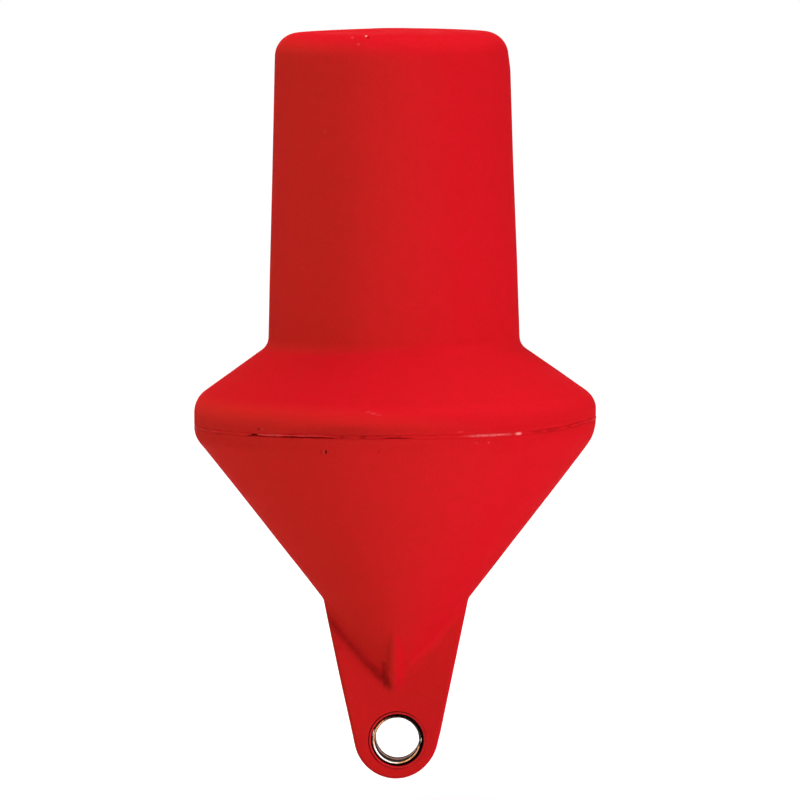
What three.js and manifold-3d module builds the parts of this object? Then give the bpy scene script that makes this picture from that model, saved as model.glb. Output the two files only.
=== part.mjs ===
// Can-shaped marker buoy: a drum on a wide belted float, over a cone that narrows to a mooring tongue.
// Two moulded shells meet at the belt, and a steel bush lines the mooring eye.
// Millimetres, +Z up. The origin is the centre of the seam between the shells, which is the waterline.
// The mooring eye runs along Y.

import * as THREE from 'three';
import { LoftGeometry } from 'three/addons/geometries/LoftGeometry.js';
import { mergeVertices } from 'three/addons/utils/BufferGeometryUtils.js';
import Module from 'manifold-3d';

const wasm = await Module();
wasm.setup();

// Float and drum. Heights are above the seam.
const BELT_RADIUS = 200.4;
const BELT_HEIGHT = 24;
const SHOULDER_EDGE_RADIUS = 24;
const NECK_HEIGHT = 77.2;
const DRUM_BASE_RADIUS = 125.4;
const NECK_FILLET = 16;
const DRUM_TOP_RADIUS = 116.3;
const CROWN_HEIGHT = 392.8;
const CROWN_SPHERE_RADIUS = 1120;
const CROWN_EDGE_RADIUS = 24;
const WALL = 5;

// Cone under the belt.
const CONE_HALF_ANGLE = THREE.MathUtils.degToRad(37.8);
const BILGE_RADIUS = 30.5;

// Mooring tongue. The tip is where the cone has shrunk to the tongue's thickness. The eye lies a
// little below the centre of the tongue's round end.
const TONGUE_THICKNESS = 36;
const TONGUE_END_RADIUS = 42.5;
const TONGUE_HALF_TAPER = THREE.MathUtils.degToRad(11.9);
const TONGUE_EDGE_RADIUS = 4;
const END_CENTRE_BELOW_TIP = 67;
const EYE_BELOW_END_CENTRE = 3.2;
const BLEND_RADIUS = 12;

// Rib down the middle of each face of the tongue.
const RIB_WIDTH = 14;
const RIB_NOSE_RADIUS = 6.5;
const RIB_ABOVE_TIP = 42;
const RIB_BELOW_TIP = 22;

// Steel bush in the eye.
const BUSH_RADIUS = 24.15;
const BUSH_BORE_RADIUS = 21.85;
const BUSH_LENGTH = 37;
const BUSH_CHAMFER = 0.4;
const EYE_MOUTH_RADIUS = 3.2;

// Weld bead in the groove between the shells.
const SEAM_GROOVE = 1.6;
const BEAD_PROUD = 0.4;

// Filler plug in the crown.
const PLUG_FLANGE_RADIUS = 22;
const PLUG_FLANGE_THICKNESS = 2.4;
const PLUG_SPIGOT_RADIUS = 17;
const PLUG_LENGTH = 8;
const PLUG_DISH_RADIUS = 12;
const PLUG_DISH_DEPTH = 1.2;
const PLUG_CHAMFER = 0.6;

// Gap round a piece that sits in a curved seat.
const CLEARANCE = 0.3;

// How finely the round forms are faceted.
const ROUND_SEGMENTS = 60;
const EYE_SEGMENTS = 48;
const ARC_STEPS = 3;
const INNER_ARC_STEPS = 2;
const EDGE_STEPS = 3;
const BLEND_STEPS = 5;
const CONE_ARC_STEPS = 8;
const BLEND_LEVELS = 14;
const TONGUE_ARC_STEPS = 9;

// Working margins for cuts and joins: how far a cutter overshoots, and how deep a blend is rooted.
const OVERSHOOT = 5;
const ROOT = 0.2;
const MERGE_DISTANCE = 1e-3;

const point = (x, y) => new THREE.Vector2(x, y);

// ---- Solids -------------------------------------------------------------------------------------

function solidOf(geometry) {
  const bare = new THREE.BufferGeometry();
  bare.setAttribute('position', geometry.attributes.position);
  bare.setIndex(geometry.index);
  const merged = mergeVertices(bare, MERGE_DISTANCE);
  const corners = merged.index.array;
  const triangles = [];
  for (let i = 0; i < corners.length; i += 3) {
    const [a, b, c] = corners.slice(i, i + 3);
    if (a !== b && b !== c && c !== a) triangles.push(a, b, c);
  }
  return new wasm.Manifold(new wasm.Mesh({
    numProp: 3,
    vertProperties: merged.attributes.position.array,
    triVerts: new Uint32Array(triangles),
  }));
}

function geometryOf(solid) {
  const { vertProperties, triVerts } = solid.getMesh();
  const geometry = new THREE.BufferGeometry();
  geometry.setAttribute('position', new THREE.BufferAttribute(vertProperties, 3));
  geometry.setIndex(new THREE.BufferAttribute(triVerts, 1));
  geometry.computeVertexNormals();
  return geometry;
}

// Revolves a profile of radius and height about Z. It runs from the top down the outside.
function revolve(profile, segments = ROUND_SEGMENTS) {
  const geometry = new THREE.LatheGeometry([...profile].reverse(), segments);
  return solidOf(geometry.rotateX(Math.PI / 2));
}

// The same about Y, for what lies along the mooring eye.
function revolveAlongEye(profile) {
  return solidOf(new THREE.LatheGeometry([...profile].reverse(), EYE_SEGMENTS));
}

// ---- Profiles -----------------------------------------------------------------------------------

// Runs straight from the pen towards a corner and rounds it off towards the next point.
function roundCorner(path, corner, next, radius) {
  const back = path.currentPoint.clone().sub(corner).normalize();
  const ahead = next.clone().sub(corner).normalize();
  const half = back.angleTo(ahead) / 2;
  const centre = back.clone().add(ahead).setLength(radius / Math.sin(half)).add(corner);
  const reach = radius / Math.tan(half);
  const start = back.clone().multiplyScalar(reach).add(corner);
  const end = ahead.clone().multiplyScalar(reach).add(corner);
  path.lineTo(start.x, start.y);
  const turnsRight = back.cross(ahead) > 0;
  path.absarc(
    centre.x, centre.y, radius,
    start.sub(centre).angle(), end.sub(centre).angle(),
    turnsRight,
  );
}

// Moves a wall line inwards. The inside is on the right of the way the line runs.
// Outer corners lose the wall's thickness from their radius and inner corners gain it.
function insetWalls(corners, inset) {
  return corners.map(({ at, radius }, i) => {
    const before = corners[i - 1]?.at ?? at.clone().multiplyScalar(2).sub(corners[i + 1].at);
    const after = corners[i + 1]?.at ?? at.clone().multiplyScalar(2).sub(corners[i - 1].at);
    const arriving = at.clone().sub(before).normalize();
    const leaving = after.clone().sub(at).normalize();
    const inwards = point(arriving.y + leaving.y, -arriving.x - leaving.x);
    const moved = inwards.multiplyScalar(inset / (1 + arriving.dot(leaving))).add(at);
    const isOuterCorner = arriving.cross(leaving) < 0;
    return { at: moved, radius: isOuterCorner ? radius - inset : radius + inset };
  });
}

function drawWalls(path, corners) {
  corners.slice(1, -1).forEach(({ at, radius }, i) => {
    roundCorner(path, at, corners[i + 2].at, radius);
  });
}

// ---- Upper shell --------------------------------------------------------------------------------

const crownCentre = CROWN_HEIGHT - CROWN_SPHERE_RADIUS;
const crownRimRadius = DRUM_TOP_RADIUS - CROWN_EDGE_RADIUS;
const crownRimAngle = Math.asin(crownRimRadius / CROWN_SPHERE_RADIUS);
const crownRim = point(crownRimRadius, crownCentre + CROWN_SPHERE_RADIUS * Math.cos(crownRimAngle));
const crownDrop = CROWN_EDGE_RADIUS * Math.tan(crownRimAngle);

const UPPER_WALLS = [
  { at: crownRim, radius: 0 },
  { at: point(DRUM_TOP_RADIUS, crownRim.y - crownDrop), radius: CROWN_EDGE_RADIUS },
  { at: point(DRUM_BASE_RADIUS, NECK_HEIGHT), radius: NECK_FILLET },
  { at: point(BELT_RADIUS, BELT_HEIGHT), radius: SHOULDER_EDGE_RADIUS },
  { at: point(BELT_RADIUS, 0), radius: 0 },
];

// One face of the upper shell, from the edge of the plug's seat out over the crown and down.
function upperFace(inset, holeRadius, foot, steps) {
  const face = new THREE.Path();
  const sphereRadius = CROWN_SPHERE_RADIUS - inset;
  const holeAngle = Math.asin(holeRadius / sphereRadius);
  face.absarc(0, crownCentre, sphereRadius, Math.PI / 2 - holeAngle, Math.PI / 2 - crownRimAngle, true);
  drawWalls(face, insetWalls(UPPER_WALLS, inset));
  foot.forEach(({ x, y }) => face.lineTo(x, y));
  return face.getPoints(steps);
}

function makeUpperShell() {
  const seatRadius = PLUG_FLANGE_RADIUS + CLEARANCE;
  const holeRadius = PLUG_SPIGOT_RADIUS + CLEARANCE;
  const ledge = CROWN_HEIGHT - PLUG_FLANGE_THICKNESS;
  const seamLip = [
    point(BELT_RADIUS, SEAM_GROOVE),
    point(BELT_RADIUS - SEAM_GROOVE, 0),
  ];
  const outerFace = upperFace(0, seatRadius, seamLip, ARC_STEPS);
  const innerFace = upperFace(WALL, holeRadius, [point(BELT_RADIUS - WALL, 0)], INNER_ARC_STEPS);
  return revolve([
    point(holeRadius, ledge),
    point(seatRadius, ledge),
    ...outerFace,
    ...innerFace.reverse(),
    point(holeRadius, ledge),
  ]);
}

// ---- Lower shell --------------------------------------------------------------------------------

// The bilge rounding starts just under the seam's groove.
const bilgeDepth = SEAM_GROOVE + BILGE_RADIUS * Math.tan(CONE_HALF_ANGLE / 2);
const coneSlope = Math.tan(CONE_HALF_ANGLE);
const apexHeight = -bilgeDepth - BELT_RADIUS / coneSlope;
const coneRadiusAt = (height) => (height - apexHeight) * coneSlope;
const coneHeightAt = (radius) => apexHeight + radius / coneSlope;

const tipHeight = coneHeightAt(TONGUE_THICKNESS / 2);
const endCentreHeight = tipHeight - END_CENTRE_BELOW_TIP;
const eyeHeight = endCentreHeight - EYE_BELOW_END_CENTRE;

// The tongue's straight side touches its round end and widens upwards by the taper.
const tongueSlope = Math.tan(TONGUE_HALF_TAPER);
const tongueHalfWidthAt = (height) =>
  TONGUE_END_RADIUS / Math.cos(TONGUE_HALF_TAPER) + (height - endCentreHeight) * tongueSlope;

// Where the tongue's sides come out of the cone.
const widthAtApex = tongueHalfWidthAt(apexHeight);
const junctionHeight = apexHeight + widthAtApex / (coneSlope - tongueSlope);
const tongueTop = junctionHeight + TONGUE_THICKNESS / 2;

const LOWER_WALLS = [
  { at: point(BELT_RADIUS, 0), radius: 0 },
  { at: point(BELT_RADIUS, -bilgeDepth), radius: BILGE_RADIUS },
  { at: point(0, apexHeight), radius: 0 },
];

function makeCone() {
  const profile = new THREE.Path();
  profile.moveTo(0, 0);
  profile.lineTo(BELT_RADIUS - SEAM_GROOVE, 0);
  profile.lineTo(BELT_RADIUS, -SEAM_GROOVE);
  drawWalls(profile, LOWER_WALLS);
  profile.lineTo(0, apexHeight);
  return revolve(profile.getPoints(ARC_STEPS));
}

// The hollow stops at a floor as wide as the tongue is thick, because the tongue is moulded solid.
function makeHollow() {
  const walls = insetWalls(LOWER_WALLS, WALL);
  const innerApexHeight = apexHeight + WALL / Math.sin(CONE_HALF_ANGLE);
  const floorRadius = TONGUE_THICKNESS / 2;
  const profile = new THREE.Path();
  profile.moveTo(0, OVERSHOOT);
  profile.lineTo(BELT_RADIUS - WALL, OVERSHOOT);
  profile.lineTo(BELT_RADIUS - WALL, 0);
  drawWalls(profile, walls);
  profile.lineTo(floorRadius, innerApexHeight + floorRadius / coneSlope);
  profile.lineTo(0, innerApexHeight + floorRadius / coneSlope);
  return revolve(profile.getPoints(INNER_ARC_STEPS));
}

function tongueOutline() {
  const halfWidth = tongueHalfWidthAt(tongueTop);
  const outline = new THREE.Shape();
  outline.moveTo(-halfWidth, tongueTop);
  outline.lineTo(halfWidth, tongueTop);
  outline.absarc(
    0, endCentreHeight, TONGUE_END_RADIUS,
    -TONGUE_HALF_TAPER, TONGUE_HALF_TAPER - Math.PI,
    true,
  );
  outline.closePath();
  return outline;
}

// Extrudes an outline drawn in X and Z symmetrically about Y = 0, with rounded edges.
function slab(outline, thickness, edgeRadius) {
  const depth = thickness - 2 * edgeRadius;
  const geometry = new THREE.ExtrudeGeometry(outline, {
    depth,
    curveSegments: TONGUE_ARC_STEPS,
    bevelEnabled: edgeRadius > 0,
    bevelThickness: edgeRadius,
    bevelSize: edgeRadius,
    bevelOffset: -edgeRadius,
    bevelSegments: EDGE_STEPS,
  });
  return geometry.translate(0, 0, -depth / 2).rotateX(Math.PI / 2);
}

// One level of the blend: the cone's circle, with a hollow round on each side of it that runs
// out onto both faces of the tongue.
function blendSection(height) {
  const circle = coneRadiusAt(height) - ROOT;
  const face = TONGUE_THICKNESS / 2 - ROOT;
  const centreX = Math.sqrt(Math.max((circle + BLEND_RADIUS) ** 2 - (face + BLEND_RADIUS) ** 2, 0));
  const touch = Math.atan2(face + BLEND_RADIUS, centreX);
  const quarter = [];
  for (let i = 0; i < BLEND_STEPS; i += 1) {
    const angle = THREE.MathUtils.lerp(-Math.PI / 2, touch - Math.PI, i / BLEND_STEPS);
    quarter.push(point(
      centreX + BLEND_RADIUS * Math.cos(angle),
      face + BLEND_RADIUS + BLEND_RADIUS * Math.sin(angle),
    ));
  }
  for (let i = 0; i < CONE_ARC_STEPS; i += 1) {
    const angle = THREE.MathUtils.lerp(touch, Math.PI / 2, i / CONE_ARC_STEPS);
    quarter.push(point(circle * Math.cos(angle), circle * Math.sin(angle)));
  }
  const front = point(0, circle);
  const half = [...quarter, front, ...quarter.map(({ x, y }) => point(-x, y)).reverse()];
  const ring = [...half, ...half.map(({ x, y }) => point(-x, -y))];
  return ring.map(({ x, y }) => new THREE.Vector3(x, y, height));
}

function makeBlend() {
  const top = tongueTop;
  const bottom = coneHeightAt(TONGUE_THICKNESS / 2 + ROOT);
  const sections = [];
  for (let level = 0; level <= BLEND_LEVELS; level += 1) {
    sections.push(blendSection(THREE.MathUtils.lerp(bottom, top, level / BLEND_LEVELS)));
  }
  return solidOf(new LoftGeometry(sections, { capStart: true, capEnd: true }));
}

// The ribs of both faces are one slab: its edges follow a straight line from the cone's surface
// down to the tongue's face, carried on a little past each.
function makeRibs() {
  const startHeight = tipHeight + RIB_ABOVE_TIP;
  const endHeight = tipHeight - RIB_BELOW_TIP;
  const startDepth = coneRadiusAt(startHeight);
  const endDepth = TONGUE_THICKNESS / 2;
  const slope = (startDepth - endDepth) / (startHeight - endHeight);
  const top = startHeight + RIB_WIDTH;
  const bottom = endHeight - RIB_WIDTH;
  const topDepth = startDepth + slope * RIB_WIDTH;
  const bottomDepth = endDepth - slope * RIB_WIDTH;
  const outline = new THREE.Shape([
    point(-bottomDepth, bottom),
    point(bottomDepth, bottom),
    point(topDepth, top),
    point(-topDepth, top),
  ]);
  return solidOf(slab(outline, RIB_WIDTH, RIB_NOSE_RADIUS).rotateZ(Math.PI / 2));
}

// The bore for the bush, opened out by a rounded mouth at each face of the tongue.
function makeEyeBore() {
  const radius = BUSH_RADIUS + CLEARANCE;
  const face = TONGUE_THICKNESS / 2;
  const profile = new THREE.Path();
  profile.moveTo(0, face + OVERSHOOT);
  profile.lineTo(radius + EYE_MOUTH_RADIUS, face + OVERSHOOT);
  profile.lineTo(radius + EYE_MOUTH_RADIUS, face);
  profile.absarc(
    radius + EYE_MOUTH_RADIUS, face - EYE_MOUTH_RADIUS, EYE_MOUTH_RADIUS,
    Math.PI / 2, Math.PI, false,
  );
  profile.absarc(
    radius + EYE_MOUTH_RADIUS, EYE_MOUTH_RADIUS - face, EYE_MOUTH_RADIUS,
    Math.PI, Math.PI * 3 / 2, false,
  );
  profile.lineTo(radius + EYE_MOUTH_RADIUS, -face - OVERSHOOT);
  profile.lineTo(0, -face - OVERSHOOT);
  return revolveAlongEye(profile.getPoints(ARC_STEPS)).translate([0, 0, eyeHeight]);
}

function makeLowerShell() {
  const outlineOnly = solidOf(slab(tongueOutline(), 2 * coneRadiusAt(tongueTop), 0));
  const tongue = solidOf(slab(tongueOutline(), TONGUE_THICKNESS, TONGUE_EDGE_RADIUS));
  return makeCone()
    .add(tongue)
    .add(makeBlend().intersect(outlineOnly))
    .add(makeRibs())
    .subtract(makeHollow())
    .subtract(makeEyeBore());
}

// ---- Bush, bead and plug ------------------------------------------------------------------------

function makeEyeBush() {
  const end = BUSH_LENGTH / 2;
  const wall = new THREE.Path([
    point(BUSH_BORE_RADIUS + BUSH_CHAMFER, end),
    point(BUSH_RADIUS - BUSH_CHAMFER, end),
    point(BUSH_RADIUS, end - BUSH_CHAMFER),
    point(BUSH_RADIUS, BUSH_CHAMFER - end),
    point(BUSH_RADIUS - BUSH_CHAMFER, -end),
    point(BUSH_BORE_RADIUS + BUSH_CHAMFER, -end),
    point(BUSH_BORE_RADIUS, BUSH_CHAMFER - end),
    point(BUSH_BORE_RADIUS, end - BUSH_CHAMFER),
    point(BUSH_BORE_RADIUS + BUSH_CHAMFER, end),
  ]);
  return revolveAlongEye(wall.getPoints());
}

// The bead fills the groove and stands a little proud of the belt.
function makeSeamBead() {
  const rootRadius = BELT_RADIUS - SEAM_GROOVE + CLEARANCE * Math.SQRT2;
  const halfHeight = SEAM_GROOVE - CLEARANCE * Math.SQRT2;
  const crest = BELT_RADIUS + BEAD_PROUD;
  return revolve([
    point(BELT_RADIUS, halfHeight),
    point(crest, halfHeight / 2),
    point(crest, -halfHeight / 2),
    point(BELT_RADIUS, -halfHeight),
    point(rootRadius, 0),
    point(BELT_RADIUS, halfHeight),
  ]);
}

// The plug's flange rests on a ledge in the crown. Its top is level with the crown and dished.
function makeFillerPlug() {
  return revolve([
    point(0, -PLUG_DISH_DEPTH),
    point(PLUG_DISH_RADIUS - PLUG_DISH_DEPTH, -PLUG_DISH_DEPTH),
    point(PLUG_DISH_RADIUS, 0),
    point(PLUG_FLANGE_RADIUS - PLUG_CHAMFER, 0),
    point(PLUG_FLANGE_RADIUS, -PLUG_CHAMFER),
    point(PLUG_FLANGE_RADIUS, -PLUG_FLANGE_THICKNESS),
    point(PLUG_SPIGOT_RADIUS, -PLUG_FLANGE_THICKNESS),
    point(PLUG_SPIGOT_RADIUS, -PLUG_LENGTH),
    point(0, -PLUG_LENGTH),
  ]);
}

// ---- Assembly -----------------------------------------------------------------------------------

const redPlastic = new THREE.MeshStandardMaterial({ color: 0xd01018, roughness: 0.5, metalness: 0 });
const weldedPlastic = new THREE.MeshStandardMaterial({ color: 0xb80e14, roughness: 0.4, metalness: 0 });
const steel = new THREE.MeshStandardMaterial({ color: 0xc9b68c, roughness: 0.35, metalness: 1 });
const darkPlastic = new THREE.MeshStandardMaterial({ color: 0x9c0c12, roughness: 0.6, metalness: 0 });

function piece(name, solid, material, height = 0) {
  const mesh = new THREE.Mesh(geometryOf(solid), material);
  mesh.name = name;
  mesh.position.z = height;
  return mesh;
}

const buoy = new THREE.Group();
buoy.add(
  piece('upper_shell', makeUpperShell(), redPlastic),
  piece('lower_shell', makeLowerShell(), redPlastic),
  piece('seam_bead', makeSeamBead(), weldedPlastic),
  piece('eye_bush', makeEyeBush(), steel, eyeHeight),
  piece('filler_plug', makeFillerPlug(), darkPlastic, CROWN_HEIGHT),
);

export default buoy;
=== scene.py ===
"""Looks of the can-shaped marker buoy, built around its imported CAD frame. Metres, +Z up.

The seam between the two shells is at Z = 0 and the mooring eye runs along Y.
"""
import math

import bmesh
import bpy
import numpy as np
from mathutils import Matrix, Vector


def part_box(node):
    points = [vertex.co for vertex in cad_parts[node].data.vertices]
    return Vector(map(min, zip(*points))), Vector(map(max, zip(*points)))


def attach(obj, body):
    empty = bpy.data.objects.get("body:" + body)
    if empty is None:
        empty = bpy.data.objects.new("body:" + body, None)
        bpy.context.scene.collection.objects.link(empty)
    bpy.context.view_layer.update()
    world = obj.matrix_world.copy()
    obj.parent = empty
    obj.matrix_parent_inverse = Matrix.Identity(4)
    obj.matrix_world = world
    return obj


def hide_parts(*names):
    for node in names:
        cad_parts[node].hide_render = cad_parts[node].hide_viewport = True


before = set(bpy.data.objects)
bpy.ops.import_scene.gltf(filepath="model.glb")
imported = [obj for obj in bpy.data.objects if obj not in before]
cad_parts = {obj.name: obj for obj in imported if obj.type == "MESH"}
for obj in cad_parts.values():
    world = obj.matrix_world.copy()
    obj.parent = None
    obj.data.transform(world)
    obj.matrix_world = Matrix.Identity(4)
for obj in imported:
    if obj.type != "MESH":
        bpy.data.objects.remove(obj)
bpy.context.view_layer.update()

# ---- Sizes that the frame shows ------------------------------------------------------------------

BELT_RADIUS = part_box("upper_shell")[1].x
CROWN_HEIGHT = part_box("filler_plug")[1].z
PLUG_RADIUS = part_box("filler_plug")[1].x
PLUG_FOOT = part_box("filler_plug")[0].z
EYE_HEIGHT = (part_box("eye_bush")[0].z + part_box("eye_bush")[1].z) / 2
BUSH_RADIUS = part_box("eye_bush")[1].x
BUSH_HALF_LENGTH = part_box("eye_bush")[1].y
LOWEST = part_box("lower_shell")[0].z

# ---- Sizes as in the CAD model -------------------------------------------------------------------

WALL = 0.005
CLEARANCE = 0.0003

BELT_HEIGHT = 0.024
SHOULDER_EDGE_RADIUS = 0.024
NECK_HEIGHT = 0.0772
NECK_FILLET = 0.016
DRUM_BASE_RADIUS = 0.1254
DRUM_TOP_RADIUS = 0.1163
CROWN_SPHERE_RADIUS = 1.120
CROWN_EDGE_RADIUS = 0.024

PLUG_FLANGE_THICKNESS = 0.0024
PLUG_SPIGOT_RADIUS = 0.017
PLUG_DISH_RADIUS = 0.012
PLUG_DISH_DEPTH = 0.0012
PLUG_EDGE_RADIUS = 0.0006

SEAM_GROOVE = 0.0016
SEAM_HALF_WIDTH = 0.0021

CONE_HALF_ANGLE = math.radians(37.8)
BILGE_RADIUS = 0.0305
TONGUE_HALF_THICKNESS = 0.018
TONGUE_END_RADIUS = 0.0425
TONGUE_HALF_TAPER = math.radians(11.9)
TONGUE_EDGE_RADIUS = 0.004
BLEND_RADIUS = 0.012
RIB_NOSE_RADIUS = 0.007
RIB_ABOVE_TIP = 0.042
RIB_BELOW_TIP = 0.022
RIB_BLEND_RADIUS = 0.004

BUSH_BORE_RADIUS = 0.02185
BUSH_LIP_RADIUS = 0.0011

# What follows from them: the cone's slope and the heights of the lower shell's corners.
CONE_SLOPE = math.tan(CONE_HALF_ANGLE)
BILGE_DEPTH = SEAM_GROOVE + BILGE_RADIUS * math.tan(CONE_HALF_ANGLE / 2)
APEX_HEIGHT = -BILGE_DEPTH - BELT_RADIUS / CONE_SLOPE
TIP_HEIGHT = APEX_HEIGHT + TONGUE_HALF_THICKNESS / CONE_SLOPE
TONGUE_END_HEIGHT = LOWEST + TONGUE_END_RADIUS

# ---- Details of the eye that only the looks show -------------------------------------------------

# The eye was bored a little aside, high and askew. The gap round the bush and the bush's bore lie
# off its middle, each by a shift along X and Z.
EYE_ASIDE = 0.0008
EYE_RISE = 0.0004
EYE_SKEW = 0.018
EYE_GAP_SHIFT = (0.0006, -0.0004)
BORE_SHIFT = (0.0004, 0.0004)

EYE_MOUTH_RADIUS = 0.0021
EYE_GAP = 0.0017
EYE_GAP_DEPTH = 0.0060
EYE_CREASE_WIDTH = 0.0013
EYE_CREASE_DEPTH = 0.0006

# ---- How finely the skins are meshed -------------------------------------------------------------

ROUND_COUNT = 256
PLUG_ROUND_COUNT = 128
EYE_ROUND_COUNT = 192
BUSH_ROUND_COUNT = 160
OUTER_SPACING = 0.0028
INNER_SPACING = 0.014
RAY_COUNT = 721

rng = np.random.default_rng(7)

# ---- Curves of one number ------------------------------------------------------------------------


def ramp(value, start, end):
    """0 up to the start, 1 past the end, and a straight line between. It may run downwards."""
    return np.clip((value - start) / (end - start), 0, 1)


def hump(value, middle, spread, sharpness=2):
    """1 at the middle, fading out past the spread. A greater sharpness gives it a flatter top."""
    return np.exp(-(((value - middle) / spread) ** sharpness))


# ---- Meshes --------------------------------------------------------------------------------------


def new_object(name, vertices, faces):
    """A smooth mesh object whose faces all look outwards."""
    mesh = bpy.data.meshes.new(name)
    mesh.from_pydata([tuple(v) for v in vertices], [], faces)
    obj = bpy.data.objects.new(name, mesh)
    bpy.context.scene.collection.objects.link(obj)
    shape = bmesh.new()
    shape.from_mesh(mesh)
    bmesh.ops.recalc_face_normals(shape, faces=shape.faces)
    shape.to_mesh(mesh)
    shape.free()
    mesh.polygons.foreach_set("use_smooth", [True] * len(mesh.polygons))
    mesh.update()
    return obj


def skin_rings(name, rings, closed=False):
    """Skins rings of equally many points. The skin closes on itself, or a fan closes each end."""
    count = len(rings[0])
    vertices = np.concatenate(rings)
    spans = len(rings) if closed else len(rings) - 1
    faces = []
    for i in range(spans):
        here, there = i * count, (i + 1) % len(rings) * count
        for j in range(count):
            k = (j + 1) % count
            faces.append((here + j, here + k, there + k, there + j))
    if not closed:
        poles = np.stack([rings[0].mean(0), rings[-1].mean(0)])
        first, last = len(vertices), len(vertices) + 1
        vertices = np.concatenate([vertices, poles])
        base = (len(rings) - 1) * count
        for j in range(count):
            k = (j + 1) % count
            faces.append((first, k, j))
            faces.append((last, base + j, base + k))
    return new_object(name, vertices, faces)


def revolve(profile, count=ROUND_COUNT):
    """Rings about Z from a profile of radius and height."""
    angles = np.linspace(0, 2 * math.pi, count, endpoint=False)
    return [
        np.stack([r * np.cos(angles), r * np.sin(angles), np.full(count, z)], -1)
        for r, z in profile
    ]


def lay_along_eye(rings):
    """Turns rings about Z into rings about the eye."""
    laid = []
    for ring in rings:
        x, up, along = ring.T
        laid.append(np.stack([x + EYE_ASIDE + EYE_SKEW * along, along, EYE_HEIGHT + EYE_RISE - up], -1))
    return laid


def coordinates(obj):
    """The places of an object's vertices, one row each."""
    flat = np.empty(len(obj.data.vertices) * 3)
    obj.data.vertices.foreach_get("co", flat)
    return flat.reshape(-1, 3)


def move_vertices(obj, places):
    obj.data.vertices.foreach_set("co", places.ravel())
    obj.data.update()


def store_amounts(obj, name, amounts):
    """Stores an amount for each vertex, for the material to read."""
    attribute = obj.data.attributes.new(name, "FLOAT", "POINT")
    attribute.data.foreach_set("value", amounts)


def cut(obj, cutter):
    """Cuts one closed mesh out of another and drops the cutter."""
    boolean = obj.modifiers.new("cut", "BOOLEAN")
    boolean.operation = "DIFFERENCE"
    boolean.solver = "EXACT"
    boolean.object = cutter
    graph = bpy.context.evaluated_depsgraph_get()
    result = bpy.data.meshes.new_from_object(obj.evaluated_get(graph))
    obj.modifiers.clear()
    obj.data = result
    bpy.data.objects.remove(cutter)


# ---- Profiles ------------------------------------------------------------------------------------


def unit(vector):
    return vector / np.linalg.norm(vector)


def inset_walls(corners, inset):
    """Moves a line of (radius, height, rounding) corners inwards, to the right of the way it runs."""
    places = np.array([corner[:2] for corner in corners])
    moved = []
    for i, (r, z, rounding) in enumerate(corners):
        at = places[i]
        before = places[i - 1] if i > 0 else 2 * at - places[i + 1]
        after = places[i + 1] if i + 1 < len(places) else 2 * at - places[i - 1]
        arriving, leaving = unit(at - before), unit(after - at)
        inwards = np.array([arriving[1] + leaving[1], -arriving[0] - leaving[0]])
        x, y = at + inwards * inset / (1 + arriving @ leaving)
        is_outer = arriving[0] * leaving[1] < arriving[1] * leaving[0]
        moved.append((x, y, rounding - inset if is_outer else rounding + inset))
    return moved


def rounded_line(corners, spacing):
    """Evenly spaced points along a line of corners, each rounded to its own radius."""
    arc_steps = 24
    points = [np.array(corners[0][:2])]
    for before, corner, after in zip(corners, corners[1:], corners[2:]):
        at = np.array(corner[:2])
        back, ahead = unit(np.array(before[:2]) - at), unit(np.array(after[:2]) - at)
        half = math.acos(np.clip(back @ ahead, -1, 1)) / 2
        centre = at + unit(back + ahead) * corner[2] / math.sin(half)
        start = at + back * corner[2] / math.tan(half) - centre
        end = at + ahead * corner[2] / math.tan(half) - centre
        sweep = math.pi - 2 * half
        for step in np.linspace(0, 1, arc_steps):
            weight = np.sin([(1 - step) * sweep, step * sweep]) / math.sin(sweep)
            points.append(centre + weight[0] * start + weight[1] * end)
    points.append(np.array(corners[-1][:2]))
    return resample(np.array(points), spacing)


def distances_along(points):
    """How far along a line each of its points lies."""
    lengths = np.linalg.norm(np.diff(points, axis=0), axis=1)
    return np.concatenate([[0], np.cumsum(lengths)])


def evenly_spaced(points, count):
    along = distances_along(points)
    wanted = np.linspace(0, along[-1], count)
    return np.stack([np.interp(wanted, along, points[:, i]) for i in range(2)], -1)


def resample(points, spacing):
    return evenly_spaced(points, max(2, round(distances_along(points)[-1] / spacing) + 1))


# ---- The moulding's unevenness -------------------------------------------------------------------


def make_waves(count, shortest, longest):
    """Random plane waves as (wave vectors, phases, weights), longer ones stronger."""
    lengths = np.exp(rng.uniform(math.log(shortest), math.log(longest), count))
    directions = rng.normal(size=(count, 3))
    directions /= np.linalg.norm(directions, axis=1)[:, None]
    weights = np.sqrt(lengths / longest)
    return directions * (2 * math.pi / lengths)[:, None], rng.uniform(0, 2 * math.pi, count), weights


def ripple(places, waves):
    """The sum of the waves at each place, scaled to a standard deviation of 1."""
    vectors, phases, weights = waves
    return np.sin(places @ vectors.T + phases) @ weights / np.sqrt((weights**2).sum() / 2)


WALL_WAVES = make_waves(24, 0.05, 0.22)
WALL_RIPPLE = 0.00012
BEAD_WAVES = make_waves(40, 0.006, 0.05)


def seam_shift(places):
    """How far the parting line strays up or down. It climbs towards the right-hand side."""
    climb, climb_middle, climb_spread = 0.0050, math.radians(-14), math.radians(24)
    sway, tilt, drop = 0.0005, 0.0012, 0.0007
    reach = 0.016
    angle = np.arctan2(places[:, 1], places[:, 0])
    rise = climb * hump(angle, climb_middle, climb_spread)
    rise += sway * np.sin(3 * angle + 0.6) + tilt * np.cos(angle) - drop
    return rise * hump(places[:, 2], 0, reach)


def drum_lean(places):
    """The drum came out of its mould a little aside of the float and leaning, both towards -X."""
    aside, lean = 0.0009, math.radians(0.10)
    height = places[:, 2]
    above_belt = np.maximum(height - BELT_HEIGHT, 0)
    return -aside * ramp(height, BELT_HEIGHT, NECK_HEIGHT) - above_belt * math.tan(lean)


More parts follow.
